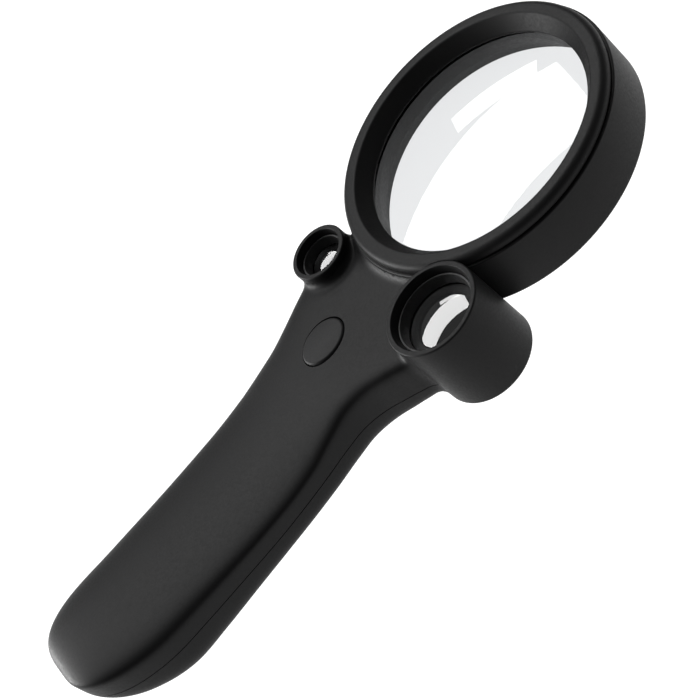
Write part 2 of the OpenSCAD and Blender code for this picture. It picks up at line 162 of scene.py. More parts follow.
@dataclass(frozen=True)
class GlassFinish:
    """Clear optical plastic or cast epoxy."""

    name: str
    tint: tuple[float, float, float] = (0.97, 0.98, 0.98)
    index: float = 1.49
    bend: float = 1.2
    roughness: float = 0.0

    def build(self) -> bpy.types.Material:
        """Makes the material; a faint unevenness keeps it from looking like a void.

        Returns:
            The new material.
        """
        mat = bpy.data.materials.new(self.name)
        mat.use_nodes = True
        nodes, links = mat.node_tree.nodes, mat.node_tree.links
        nodes.remove(nodes["Principled BSDF"])
        through = nodes.new("ShaderNodeBsdfRefraction")
        through.inputs["Color"].default_value = (*self.tint, 1.0)
        through.inputs["IOR"].default_value = self.bend
        mirror = nodes.new("ShaderNodeBsdfGlossy")
        fresnel = nodes.new("ShaderNodeFresnel")
        fresnel.inputs["IOR"].default_value = self.index
        side = nodes.new("ShaderNodeNewGeometry")
        outer = nodes.new("ShaderNodeMath")
        outer.operation = "SUBTRACT"
        outer.use_clamp = True
        both = nodes.new("ShaderNodeMixShader")
        links.new(fresnel.outputs["Fac"], outer.inputs[0])
        links.new(side.outputs["Backfacing"], outer.inputs[1])
        links.new(outer.outputs["Value"], both.inputs["Fac"])
        links.new(through.outputs["BSDF"], both.inputs[1])
        links.new(mirror.outputs["BSDF"], both.inputs[2])
        links.new(both.outputs["Shader"], nodes["Material Output"].inputs["Surface"])
        place = nodes.new("ShaderNodeTexCoord")
        dust = nodes.new("ShaderNodeTexNoise")
        dust.inputs["Scale"].default_value = 30.0
        links.new(place.outputs["Object"], dust.inputs["Vector"])
        film = nodes.new("ShaderNodeMapRange")
        film.inputs["From Min"].default_value = 0.45
        film.inputs["From Max"].default_value = 0.8
        film.inputs["To Min"].default_value = self.roughness
        film.inputs["To Max"].default_value = self.roughness + 0.015
        links.new(dust.outputs["Fac"], film.inputs["Value"])
        links.new(film.outputs["Result"], through.inputs["Roughness"])
        links.new(film.outputs["Result"], mirror.inputs["Roughness"])
        return mat


@dataclass(frozen=True)
class BoardFinish:
    """Green solder mask over faint copper tracks."""

    name: str = "solder_mask"

    def build(self) -> bpy.types.Material:
        """Makes the material with a brick pattern that stands for the tracks.

        Returns:
            The new material.
        """
        mat = bpy.data.materials.new(self.name)
        mat.use_nodes = True
        nodes, links = mat.node_tree.nodes, mat.node_tree.links
        shader = nodes["Principled BSDF"]
        shader.inputs["Roughness"].default_value = 0.32
        shader.inputs["Coat Weight"].default_value = 0.4
        place = nodes.new("ShaderNodeTexCoord")
        tracks = nodes.new("ShaderNodeTexBrick")
        tracks.inputs["Scale"].default_value = 260.0
        tracks.inputs["Color1"].default_value = (0.012, 0.085, 0.03, 1.0)
        tracks.inputs["Color2"].default_value = (0.016, 0.11, 0.04, 1.0)
        tracks.inputs["Mortar"].default_value = (0.05, 0.2, 0.07, 1.0)
        tracks.inputs["Mortar Size"].default_value = 0.03
        links.new(place.outputs["Object"], tracks.inputs["Vector"])
        links.new(tracks.outputs["Color"], shader.inputs["Base Color"])
        bump = nodes.new("ShaderNodeBump")
        bump.inputs["Distance"].default_value = 0.00004
        links.new(tracks.outputs["Fac"], bump.inputs["Height"])
        links.new(bump.outputs["Normal"], shader.inputs["Normal"])
        return mat


@dataclass
class Finishes:
    """All finishes of the magnifier, made once and shared."""

    made: dict[str, bpy.types.Material] = field(default_factory=dict)

    def get(self, finish: Finish | GlassFinish | BoardFinish) -> bpy.types.Material:
        """Gives the finish's material, and makes it the first time."""
        if finish.name not in self.made:
            self.made[finish.name] = finish.build()
        return self.made[finish.name]


SOFT_TOUCH = Finish("soft_touch_black", (0.0085, 0.0085, 0.0088), 0.5, 0.06, 1500.0, 0.00003, 30.0, 0.10,
                    specular=0.15)
INNER_BLACK = Finish("inner_black", (0.008, 0.008, 0.0085), 0.55, 0.08, 1100.0, 0.00003)
BUTTON_RUBBER = Finish("button_rubber", (0.0105, 0.0105, 0.011), 0.54, 0.05, 1800.0, 0.00003, specular=0.2)
STEEL = Finish("plated_steel", (0.62, 0.62, 0.6), 0.28, 0.08, 700.0, 0.00001, metallic=1.0)
JACKET = Finish("cell_jacket", (0.22, 0.23, 0.25), 0.3, 0.04, 300.0, 0.000004, coat=0.5)
CERAMIC = Finish("resistor_body", (0.5, 0.36, 0.2), 0.4, 0.05, 500.0, 0.00001, coat=0.2)
SWITCH = Finish("switch_plastic", (0.03, 0.03, 0.033), 0.42, 0.06, 800.0, 0.00001)
RED_LEAD = Finish("lead_red", (0.42, 0.02, 0.02), 0.38, 0.05, 600.0, 0.00001)
BLACK_LEAD = Finish("lead_black", (0.02, 0.02, 0.02), 0.4, 0.05, 600.0, 0.00001)
YELLOW_LEAD = Finish("lead_yellow", (0.5, 0.34, 0.03), 0.38, 0.05, 600.0, 0.00001)
LENS = GlassFinish("lens_acrylic", (0.84, 0.845, 0.85), 1.6)
LOUPE_LENS = GlassFinish("loupe_lens_acrylic", (0.86, 0.865, 0.87), 2.6)
EPOXY = GlassFinish("lamp_epoxy", (0.98, 0.97, 0.88), 1.5, 1.4, 0.12)
BOARD = BoardFinish()


# ---------------------------------------------------------------- mesh tools


def new_object(name: str, mesh: bpy.types.Mesh, finish: bpy.types.Material) -> bpy.types.Object:
    """Links a mesh into the scene as a named object with one finish.

    Args:
        name: The piece's name.
        mesh: Its mesh, in metres.
        finish: The material.

    Returns:
        The new object.
    """
    mesh.materials.append(finish)
    obj = bpy.data.objects.new(name, mesh)
    bpy.context.scene.collection.objects.link(obj)
    return obj


def seat(obj: bpy.types.Object, body: Body, slot: str, *nodes: str) -> bpy.types.Object:
    """Puts a finished piece on its body and says which CAD nodes it stands for.

    Args:
        obj: The piece.
        body: The body it rides on.
        slot: Name of a material slot; not used.
        *nodes: The CAD nodes it replaces.

    Returns:
        The same piece.
    """
    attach(obj, body.value)
    if nodes:
        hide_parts(*nodes)
    LOG.info("%s: %d faces, rides %s, replaces %s", obj.name, len(obj.data.polygons), body.value, list(nodes))
    return obj


def rounded(points: Sequence[tuple[float, float, float]], steps: int = 6) -> list[tuple[float, float]]:
    """Rounds the corners of a closed or open profile.

    Args:
        points: Corners as (radius, height, rounding).
        steps: Segments in each rounding.

    Returns:
        The profile as (radius, height) points.
    """
    out: list[tuple[float, float]] = []
    count = len(points)
    for k, (r, z, rad) in enumerate(points):
        here = Vector((r, z))
        if rad <= 0:
            out.append((r, z))
            continue
        back = (Vector(points[k - 1][:2]) - here).normalized()
        on = (Vector(points[(k + 1) % count][:2]) - here).normalized()
        half = back.angle(on) / 2
        reach = rad / math.tan(half)
        centre = here + (back + on).normalized() * (rad / math.sin(half))
        first = here + back * reach - centre
        last = here + on * reach - centre
        turn = first.angle_signed(last)
        for i in range(steps + 1):
            a = -turn * i / steps
            spin = Vector((first.x * math.cos(a) - first.y * math.sin(a),
                           first.x * math.sin(a) + first.y * math.cos(a)))
            out.append(tuple(centre + spin))
    return out


@dataclass(frozen=True)
class Lathe:
    """A turned part: a closed profile spun about a vertical axis."""

    centre: tuple[float, float]
    profile: Sequence[tuple[float, float]]
    segments: int = 192
    crease: float = 32.0

    def build(self, name: str) -> bpy.types.Mesh:
        """Makes the turned mesh.

        Args:
            name: The mesh's name.

        Returns:
            A closed mesh in metres, smooth except at its creases.
        """
        bm = bmesh.new()
        rings: list[list[bmesh.types.BMVert]] = []
        for r, z in self.profile:
            if r < TINY:
                rings.append([bm.verts.new((self.centre[0] * MM, self.centre[1] * MM, z * MM))])
                continue
            ring = []
            for i in range(self.segments):
                a = 2 * math.pi * i / self.segments
                ring.append(bm.verts.new(((self.centre[0] + r * math.cos(a)) * MM,
                                          (self.centre[1] + r * math.sin(a)) * MM, z * MM)))
            rings.append(ring)
        for k, low in enumerate(rings):
            high = rings[(k + 1) % len(rings)]
            if len(low) == 1 and len(high) == 1:
                continue
            for i in range(self.segments):
                j = (i + 1) % self.segments
                corner = [low[i % len(low)], low[j % len(low)], high[j % len(high)], high[i % len(high)]]
                bm.faces.new(list(dict.fromkeys(corner)))
        bmesh.ops.recalc_face_normals(bm, faces=bm.faces)
        for face in bm.faces:
            face.smooth = True
        for edge in bm.edges:
            if len(edge.link_faces) == 2 and edge.calc_face_angle() > math.radians(self.crease):
                edge.smooth = False
        mesh = bpy.data.meshes.new(name)
        bm.to_mesh(mesh)
        bm.free()
        return mesh


def smooth_min(a: Array, b: Array, blend: float) -> Array:
    """Joins two distance fields with a fillet of about the given size."""
    near = np.clip(blend - np.abs(a - b), 0.0, None) / blend
    return np.minimum(a, b) - near * near * blend * 0.25


def gradient(solid: Field, points: Array, step: float = 0.02) -> Array:
    """Gives the slope of a field by central differences.

    Args:
        solid: The field.
        points: Places, one row each.
        step: Half the distance between the two samples.

    Returns:
        One vector for each place.
    """
    out = np.empty_like(points)
    for axis in range(3):
        shift = np.zeros(3)
        shift[axis] = step
        out[:, axis] = (solid(points + shift) - solid(points - shift)) / (2 * step)
    return out


@dataclass
class FieldSolid:
    """A solid that is the common part of several smooth fields, each negative inside.

    Its mesh has a crisp edge wherever two fields meet, and exact smooth shading
    on each field's own face.
    """

    fields: list[Field]
    low: Point
    high: Point
    pitch: float = 0.7

    def _sample(self) -> tuple[Array, Array]:
        """Samples all fields on the grid.

        Returns:
            The largest value at each grid point, and which field gave it.
        """
        axes = [np.arange(lo, hi + self.pitch, self.pitch) for lo, hi in zip(self.low, self.high)]
        grid = np.stack(np.meshgrid(*axes, indexing="ij"), axis=-1)
        flat = grid.reshape(-1, 3)
        best = np.full(len(flat), -np.inf)
        which = np.zeros(len(flat), dtype=np.int64)
        for k, one in enumerate(self.fields):
            value = one(flat)
            higher = value > best
            best[higher] = value[higher]
            which[higher] = k
        return best.reshape(grid.shape[:3]), which.reshape(grid.shape[:3])

    def _crossings(self, value: Array, which: Array) -> tuple[Array, Array, Array]:
        """Finds where grid edges pass through the surface.

        Returns:
            For each crossing: its four cells in order, its point, and its field.
        """
        shape = np.array(value.shape)
        cells, points, fields = [], [], []
        for axis in range(3):
            u, v = (axis + 1) % 3, (axis + 2) % 3
            a = np.take(value, range(shape[axis] - 1), axis)
            b = np.take(value, range(1, shape[axis]), axis)
            hit = np.argwhere((a < 0) != (b < 0))
            inside = (hit[:, u] > 0) & (hit[:, v] > 0)
            hit = hit[inside & (hit[:, u] < shape[u] - 1) & (hit[:, v] < shape[v] - 1)]
            other = hit.copy()
            other[:, axis] += 1
            va, vb = value[tuple(hit.T)], value[tuple(other.T)]
            point = hit.astype(float)
            point[:, axis] += va / (va - vb)
            outside = np.where((va > 0)[:, None], hit, other)
            ring = []
            for du, dv in ((0, 0), (-1, 0), (-1, -1), (0, -1)):
                cell = hit.copy()
                cell[:, u] += du
                cell[:, v] += dv
                ring.append(np.ravel_multi_index(tuple(cell.T), value.shape))
            ring = np.stack(ring, axis=1)
            ring[va > 0] = ring[va > 0][:, ::-1]
            cells.append(ring)
            points.append(point * self.pitch + np.array(self.low))
            fields.append(which[tuple(outside.T)])
        return np.concatenate(cells), np.concatenate(points), np.concatenate(fields)

    def _settle(self, points: Array, masks: Array) -> Array:
        """Moves each vertex onto all the fields that meet in its cell.

        Args:
            points: First places of the vertices.
            masks: Bit k is set where field k passes through the vertex's cell.

        Returns:
            The settled places.
        """
        start = points.copy()
        points = points.copy()
        for mask in np.unique(masks):
            rows = np.flatnonzero(masks == mask)
            active = [k for k in range(len(self.fields)) if mask >> k & 1][:3]
            here = points[rows]
            for _ in range(5):
                miss = np.stack([self.fields[k](here) for k in active], axis=1)
                slope = np.stack([gradient(self.fields[k], here) for k in active], axis=1)
                square = slope @ slope.transpose(0, 2, 1) + 1e-3 * np.eye(len(active))
                pull = np.linalg.solve(square, miss[:, :, None])
                step = (slope.transpose(0, 2, 1) @ pull)[:, :, 0]
                size = np.linalg.norm(step, axis=1, keepdims=True)
                here = here - step * np.minimum(1.0, 0.5 * self.pitch / np.maximum(size, 1e-9))
            moved = here - start[rows]
            size = np.linalg.norm(moved, axis=1, keepdims=True)
            points[rows] = start[rows] + moved * np.minimum(1.0, 1.1 * self.pitch / np.maximum(size, 1e-9))
        return points

    def build(self, name: str) -> bpy.types.Mesh:
        """Makes the mesh.

        Args:
            name: The mesh's name.

        Returns:
            A closed mesh in metres with its own corner normals.
        """
        value, which = self._sample()
        cells, points, fields = self._crossings(value, which)
        ids, back = np.unique(cells, return_inverse=True)
        back = back.reshape(cells.shape)
        count = np.bincount(back.ravel(), minlength=len(ids))
        places = np.stack([np.bincount(back.ravel(), weights=np.repeat(points[:, k], 4), minlength=len(ids))
                           for k in range(3)], axis=1) / count[:, None]
        masks = np.zeros(len(ids), dtype=np.int64)
        np.bitwise_or.at(masks, back.ravel(), np.repeat(1 << fields, 4))
        places = self._settle(places, masks)
        mesh = bpy.data.meshes.new(name)
        mesh.from_pydata((places * MM).tolist(), [], back.tolist())
        mesh.validate()
        normals = np.zeros((len(back), 4, 3))
        for k, one in enumerate(self.fields):
            rows = np.flatnonzero(fields == k)
            if len(rows):
                corner = back[rows].ravel()
                slope = gradient(one, places[corner])
                slope /= np.maximum(np.linalg.norm(slope, axis=1, keepdims=True), 1e-9)
                normals[rows] = slope.reshape(-1, 4, 3)
        for face in mesh.polygons:
            face.use_smooth = True
        if len(mesh.loops) == normals.shape[0] * 4:
            mesh.normals_split_custom_set(normals.reshape(-1, 3).tolist())
        else:
            LOG.warning("%s: some faces were dropped, so it keeps plain normals", name)
        return mesh


# ---------------------------------------------------------------- the magnifier


@dataclass(frozen=True)
class Tube:
    """Place and size of one loupe tube, taken from the frame."""

    x: float
    y: float
    radius: float
    front: float
    rear: float

    @classmethod
    def of(cls, node: str) -> "Tube":
        """Reads a whole tube from its CAD node.

        Args:
            node: The barrel's node.

        Returns:
            The tube.
        """
        low, high = cad_box_mm(node)
        radius = (high.x - low.x) / 2
        return cls((low.x + high.x) / 2, low.y + radius, radius, high.z, low.z)

    @classmethod
    def around(cls, barrel: str, lens: str) -> "Tube":
        """Reads a tube whose left side is cut away by the lens ring.

        Args:
            barrel: The barrel's node.
            lens: The node of its lens, which is whole and centred on the axis.

        Returns:
            The tube.
        """
        low, high = cad_box_mm(barrel)
        lens_low, lens_high = cad_box_mm(lens)
        x = (lens_low.x + lens_high.x) / 2
        y = (lens_low.y + lens_high.y) / 2
        return cls(x, y, high.x - x, high.z, low.z)

    def axis_distance(self, p: Array) -> Array:
        """Gives each point's distance from the tube's axis."""
        return np.hypot(p[:, 0] - self.x, p[:, 1] - self.y)


@dataclass
class HandleShape:
    """The handle's outer form as a smooth field, with its stations along Y.

    Each station is: place along Y, middle across X, half width, crown height,
    back height, height of the widest line, and squareness of the top.
    """

    ring_r: float
    large: Tube
    small: Tube
    deck: float
    rest: float
    tail: float
    nose_start: float = -156.0
    nose_power: float = 2.9
    low_power: float = 4.2
    camber: float = 2.2
    crease: float = 5.0
    wall: float = 2.0
    ring_fillet: float = 5.5
    tube_fillet: float = 3.0
    collar: float = 1.8
    overlap: float = 0.1
    ring_top: float = 15.6
    stations: tuple[tuple[float, ...], ...] = field(init=False)

    def __post_init__(self) -> None:
        """Sets the stations from the deck and the resting plane."""
        deck, rest = self.deck, self.rest
        self.stations = (
            (self.tail - 4, -4.4, 20.4, 18.8, rest + 10.2, 11.4, 3.4),
            (-172.0, -1.9, 22.0, 16.8, rest + 3.4, 7.4, 3.6),
            (-158.0, -0.4, 22.9, 15.2, rest + 0.3, 4.6, 4.0),
            (-146.0, -0.2, 23.0, 13.8, rest, 3.8, 4.2),
            (-132.0, -0.2, 23.0, 12.1, rest, 3.2, 4.4),
            (-118.0, -0.1, 23.0, 10.9, rest, 2.8, 4.6),
            (-107.0, 0.0, 22.9, 10.5, rest, 2.6, 4.6),
            (-97.0, 0.0, 22.6, 11.0, rest, 2.6, 4.6),
            (-88.0, 0.0, 22.0, 12.1, rest, 2.8, 4.6),
            (-80.0, 0.2, 22.0, 13.3, rest + 0.2, 3.0, 4.4),
            (-73.0, 1.0, 23.6, 14.1, rest + 0.5, 3.0, 4.8),
            (-66.0, 2.2, 26.6, deck, rest + 1.0, 3.0, 5.2),
            (-59.0, 3.2, 29.6, deck, rest + 1.8, 3.2, 5.4),
            (-50.0, 2.6, 28.6, deck, rest + 2.4, 3.6, 5.0),
            (-40.0, 6.0, 26.0, deck, rest + 2.6, 4.0, 4.6),
            (-26.0, 8.0, 24.0, deck, rest + 2.6, 4.0, 4.6),
        )
        rows = np.array(self.stations)
        self._y = np.arange(rows[0, 0], rows[-1, 0], 0.25)
        slopes = np.gradient(rows, rows[:, 0], axis=0)
        self._table = [self._curve(rows[:, 0], rows[:, k], slopes[:, k]) for k in range(1, rows.shape[1])]

    def _curve(self, at: Array, value: Array, slope: Array) -> Array:
        """Draws a smooth curve through the stations.

        Args:
            at: The stations' places along Y.
            value: The value at each station.
            slope: Its rate of change at each station.

        Returns:
            The value at each fine place.
        """
        k = np.clip(np.searchsorted(at, self._y, side="right") - 1, 0, len(at) - 2)
        span = at[k + 1] - at[k]
        t = (self._y - at[k]) / span
        return ((2 * t**3 - 3 * t**2 + 1) * value[k] + (t**3 - 2 * t**2 + t) * span * slope[k]
                + (3 * t**2 - 2 * t**3) * value[k + 1] + (t**3 - t**2) * span * slope[k + 1])

    def _at(self, y: Array) -> list[Array]:
        """Looks all station values up at the given places."""
        return [np.interp(y, self._y, column) for column in self._table]

    def parting(self, y: Array) -> Array:
        """Gives the height where the front and rear shells meet."""
        rise = np.clip(-112.0 - y, 0.0, None)
        return 2.2 + 4.2 * rise * rise / (rise * 46.0 + 900.0)

    def handle(self, p: Array) -> Array:
        """Gives the handle and web's field.

        Args:
            p: The points.

        Returns:
            The field, negative inside.
        """
        y = p[:, 1]
        middle, half, crown, back, wide, square = self._at(y)
        across = np.maximum(np.abs(p[:, 0] - middle) / half, TINY)
        rise = p[:, 2] - wide
        camber = self.camber * np.clip((-66.0 - y) / 30.0, 0.0, 1.0) * np.minimum(across, 1.1) ** 2
        reach = np.where(rise > 0, crown - wide - camber, wide - back)
        up = np.maximum(np.abs(rise) / reach, TINY)
        firm = self.crease * np.clip((p[:, 0] - middle) / half * 3.0, 0.0, 1.0)
        power = np.where(rise > 0, square + firm, self.low_power)
        flat = (across**power + up**power) ** (1 / power)
        nose = np.clip((self.nose_start - y) / (self.nose_start - self.tail), 0.0, None)
        q = self.nose_power
        total = np.maximum((flat**q + nose**q) ** (1 / q), TINY)
        by_flat = (flat / total) ** (q - 1)
        slope_x = by_flat * (across / flat) ** (power - 1) / half
        slope_z = by_flat * (up / flat) ** (power - 1) / reach
        slope_y = (nose / total) ** (q - 1) / (self.nose_start - self.tail)
        slope = np.sqrt(slope_x**2 + slope_z**2 + slope_y**2)
        return (total - 1.0) / np.maximum(slope, 0.012)

    def ring(self, p: Array, shrink: float = 0.3) -> Array:
        """Gives the field of the ring's outer wall, a little under its true size."""
        r = np.hypot(p[:, 0], p[:, 1])
        return np.maximum(r - (self.ring_r - shrink), np.maximum(p[:, 2] - self.ring_top, -p[:, 2]))

    def tube(self, p: Array, tube: Tube, shrink: float = 0.15) -> Array:
        """Gives the field of a tube's outer wall, a little under its true size."""
        side = tube.axis_distance(p) - (tube.radius - shrink)
        return np.maximum(side, np.maximum(p[:, 2] - (tube.front - 1.0), tube.rear + 1.2 - p[:, 2]))

    def outside(self, p: Array) -> Array:
        """Gives the whole outer form with its fillets."""
        form = smooth_min(self.handle(p), self.ring(p), self.ring_fillet)
        form = smooth_min(form, self.tube(p, self.large), self.tube_fillet)
        return smooth_min(form, self.tube(p, self.small), self.tube_fillet)

    def cuts(self) -> list[Field]:
        """Gives the fields that end the shells on the ring, on the two tubes and past the large one."""
        span = math.hypot(self.large.x, self.large.y)
        return [
            lambda p: (p[:, 1] * self.large.x - p[:, 0] * self.large.y) / span - 1.0,
            lambda p: (self.ring_r - self.overlap) - np.hypot(p[:, 0], p[:, 1]),
            lambda p: (self.large.radius - self.overlap) - self.large.axis_distance(p),
            lambda p: (self.small.radius - self.overlap) - self.small.axis_distance(p),
        ]

    def lining(self, keep: Field | None = None) -> Field:
        """Gives the inner face of the shells.

        Args:
            keep: Field of bosses that stay solid, if any.

        Returns:
            A field that is positive in the hollow.
        """
        def inner(p: Array) -> Array:
            """Negative in the wall, in the tubes' collars and in the bosses."""
            hollow = -(self.handle(p) + self.wall)
            hollow = np.minimum(hollow, self.large.axis_distance(p) - (self.large.radius + self.collar))
            hollow = np.minimum(hollow, self.small.axis_distance(p) - (self.small.radius + self.collar))
            hollow = np.minimum(hollow, np.hypot(p[:, 0], p[:, 1]) - (self.ring_r + self.collar))
            return hollow if keep is None else np.minimum(hollow, keep(p))
        return inner


def plan_radius(p: Array, x: float, y: float) -> Array:
    """Gives each point's distance from an upright axis."""
    return np.hypot(p[:, 0] - x, p[:, 1] - y)


def rounded_plate(p: Array, half: float, low: float, high: float, corner: float) -> Array:
    """Gives the field of an upright plate with rounded corners, centred on X = 0.

    Args:
        p: The points.
        half: Half the plate's width.
        low: Its lowest place along Y.
        high: Its highest place along Y.
        corner: Radius of the corners.

    Returns:
        The field, negative inside.
    """
    qx = np.abs(p[:, 0]) - (half - corner)
    qy = np.abs(p[:, 1] - (low + high) / 2) - ((high - low) / 2 - corner)
    outer = np.hypot(np.maximum(qx, 0), np.maximum(qy, 0))
    return outer + np.minimum(np.maximum(qx, qy), 0) - corner


def drill(obj: bpy.types.Object, x: float, y: float, radius: float, low: float, high: float) -> None:
    """Takes an upright cylinder out of a piece.

    Args:
        obj: The piece.
        x: Place of the axis across.
        y: Place of the axis along.
        radius: Radius of the cut.
        low: Its lowest height.
        high: Its highest height.
    """
    profile = [(0.0, low), (radius, low), (radius, high), (0.0, high)]
    mesh = Lathe((x, y), profile).build("cutter")
    cutter = bpy.data.objects.new("cutter", mesh)
    bpy.context.scene.collection.objects.link(cutter)
    mod = obj.modifiers.new("cut", "BOOLEAN")
    mod.operation = "DIFFERENCE"
    mod.object = cutter
    depsgraph = bpy.context.evaluated_depsgraph_get()
    done = bpy.data.meshes.new_from_object(obj.evaluated_get(depsgraph))
    obj.modifiers.clear()
    obj.data = done
    bpy.data.objects.remove(cutter)


def lens_profile(edge: float, optic: float, seat_z: float, flange: float,
                 sag: float) -> list[tuple[float, float]]:
    """Draws a lens with two domed faces on a flat flange.

    Args:
        edge: Radius of the flange.
        optic: Radius of the domed faces.
        seat_z: Height of the flange's rear face.
        flange: Thickness of the flange.
        sag: How far each face bulges.

    Returns:
        The profile from the rear vertex to the front vertex.
    """
    ball = (optic * optic + sag * sag) / (2 * sag)
    steps = 40
    arc = [(optic * i / steps, math.sqrt(ball * ball - (optic * i / steps) ** 2) - ball + sag)
           for i in range(steps + 1)]
    rear = [(r, seat_z - h) for r, h in arc]
    front = [(r, seat_z + flange + h) for r, h in reversed(arc)]
    return [*rear, (edge, seat_z), (edge, seat_z + flange), *front]


@dataclass
class LensRing:
    """The round head: side wall, bezel and main lens."""

    shape: HandleShape
    finishes: Finishes
    wall: float = 3.0
    wall_top: float = 17.0
    aperture: float = 35.2
    lip_band: float = 4.6
    lip_round: float = 2.2
    bezel_inset: float = 0.8
    ledge: float = 1.3
    flange: float = 2.4
    rim: float = 1.9
    tube_overlap: float = 2.2
    tube_gap: float = 0.06

    def build(self) -> None:
        """Builds the side wall, the bezel and the lens."""
        ring_r = self.shape.ring_r
        black = self.finishes.get(SOFT_TOUCH)
        inner = ring_r - self.wall
        wall = rounded([(inner, 0, 0.2), (ring_r, 0, 1.1), (ring_r, self.wall_top, 0.45),
                        (inner, self.wall_top, 0)])
        side = new_object("ring_side_wall", Lathe((0, 0), wall, 256).build("ring_side_wall"), black)
        large = self.shape.large
        drill(side, large.x, large.y, large.radius - self.tube_overlap, *THROUGH)
        seat(side, Body.ROOT, "soft_black", "lens_ring_wall")
        top = cad_box_mm("main_bezel")[1].z
        bezel_r = ring_r - self.bezel_inset
        lens_low, lens_high = cad_box_mm("main_lens")
        flange_top = (lens_low.z + lens_high.z) / 2 + self.ledge
        lip_in = bezel_r - self.lip_band
        profile = rounded([
            (self.aperture + 1.2, flange_top, 0), (inner - 0.1, flange_top, 0),
            (inner - 0.1, self.wall_top + 0.15, 0), (bezel_r, self.wall_top + 0.15, 0.3),
            (bezel_r, top, self.lip_round), (lip_in, top, 1.0),
            (self.aperture, flange_top + 1.5, 0.4), (self.aperture, flange_top + 0.8, 0.2),
        ], 10)
        bezel = new_object("bezel", Lathe((0, 0), profile, 256).build("bezel"), black)
        drill(bezel, large.x, large.y, large.radius + self.tube_gap, *THROUGH)
        seat(bezel, Body.ROOT, "soft_black", "main_bezel")
        edge = (lens_high.x - lens_low.x) / 2
        thick = lens_high.z - lens_low.z
        sag = (thick - self.flange) / 2
        lens = lens_profile(edge, edge - self.rim, lens_low.z + sag, self.flange, sag)
        glass = new_object("main_lens_glass", Lathe((0, 0), lens, 256).build("main_lens_glass"),
                           self.finishes.get(LENS))
        seat(glass, Body.ROOT, "lens", "main_lens")


@dataclass(frozen=True)
class LoupeSize:
    """Inner sizes of one loupe tube."""

    bore: float
    mouth: float
    lens_z: float
    sag: float
    flange: float = 2.0
    mouth_depth: float = 3.0
    lip: float = 1.5
    lip_depth: float = 2.0
    ledge: float = 1.2
    ledge_thick: float = 1.5
    rim: float = 1.3
    play: float = 0.1
    recess: float = 2.4
    retainer_lip: float = 0.7
    ring_gap: float = 0.02
    ring_cut_top: float = 17.1


@dataclass
class Loupe:
    """A tube with its lens and the ring that holds it."""

    word: str
    tube: Tube
    size: LoupeSize
    finishes: Finishes

    def barrel_profile(self) -> list[tuple[float, float]]:
        """Draws the tube's wall from the rear mouth round to the front recess."""
        t, s = self.tube, self.size
        return rounded([
            (s.mouth, t.rear, 0.3), (t.radius, t.rear, 0.8), (t.radius, t.front, 0.55),
            (t.radius - s.lip, t.front, 0.25), (s.bore, t.front - s.lip_depth, 0),
            (s.bore, s.lens_z, 0), (s.bore - s.ledge, s.lens_z, 0),
            (s.bore - s.ledge, s.lens_z - s.ledge_thick, 0), (s.bore, s.lens_z - s.ledge_thick, 0),
            (s.bore, t.rear + s.mouth_depth, 0), (s.mouth, t.rear + s.mouth_depth, 0),
        ])

    def build(self, ring_r: float | None = None) -> None:
        """Builds the three pieces.

        Args:
            ring_r: Radius of the lens ring where it cuts into the tube, if it does.
        """
        t, s = self.tube, self.size
        at = (t.x, t.y)
        barrel = new_object(f"{self.word}_tube", Lathe(at, self.barrel_profile(), 200).build("tube"),
                            self.finishes.get(SOFT_TOUCH))
        if ring_r is not None:
            drill(barrel, 0.0, 0.0, ring_r - s.ring_gap, 0.0, s.ring_cut_top)
        seat(barrel, Body.ROOT, "soft_black", f"{self.word}_loupe_barrel")
        lens = lens_profile(s.bore - s.play, s.bore - s.rim, s.lens_z, s.flange, s.sag)
        glass = new_object(f"{self.word}_lens_glass", Lathe(at, lens, 128).build("lens"),
                           self.finishes.get(LOUPE_LENS))
        seat(glass, Body.ROOT, "lens", f"{self.word}_loupe_lens")
        low = s.lens_z + s.flange + s.play
        high = t.front - s.recess
        ring = rounded([(s.bore - s.rim, low, 0.15), (s.bore - s.play, low, 0),
                        (s.bore - s.play, high, 0.2), (s.bore - s.retainer_lip, high, 0.2)])
        holder = new_object(f"{self.word}_lens_retainer", Lathe(at, ring, 160).build("retainer"),
                            self.finishes.get(INNER_BLACK))
        seat(holder, Body.ROOT, "inner_black", f"{self.word}_loupe_retainer")


@dataclass(frozen=True)
class ButtonSize:
    """Size of the push button and its opening."""

    y: float
    rx: float
    ry: float
    gap: float
    top: float
    low: float

    @classmethod
    def of(cls, node: str, gap: float = 0.35, flange: float = BUTTON_FLANGE) -> "ButtonSize":
        """Reads the button from its CAD node.

        Args:
            node: The cap's node.
            gap: Gap between cap and opening.
            flange: How far the hidden flange stands out past the opening.

        Returns:
            The size of the opening and the cap's heights.
        """
        low, high = cad_box_mm(node)
        return cls((low.y + high.y) / 2, (high.x - low.x) / 2 - flange, (high.y - low.y) / 2 - flange,
                   gap, high.z, low.z)

    def oval(self, p: Array, grow: float) -> Array:
        """Gives the field of the upright oval.

        Args:
            p: The points.
            grow: How far the oval is grown all round.

        Returns:
            The field, negative inside.
        """
        rx, ry = self.rx + grow, self.ry + grow
        u, v = p[:, 0] / rx, (p[:, 1] - self.y) / ry
        k = np.maximum(np.hypot(u, v), TINY)
        slope = np.hypot(u / rx, v / ry) / k
        return (k - 1.0) / np.maximum(slope, TINY)


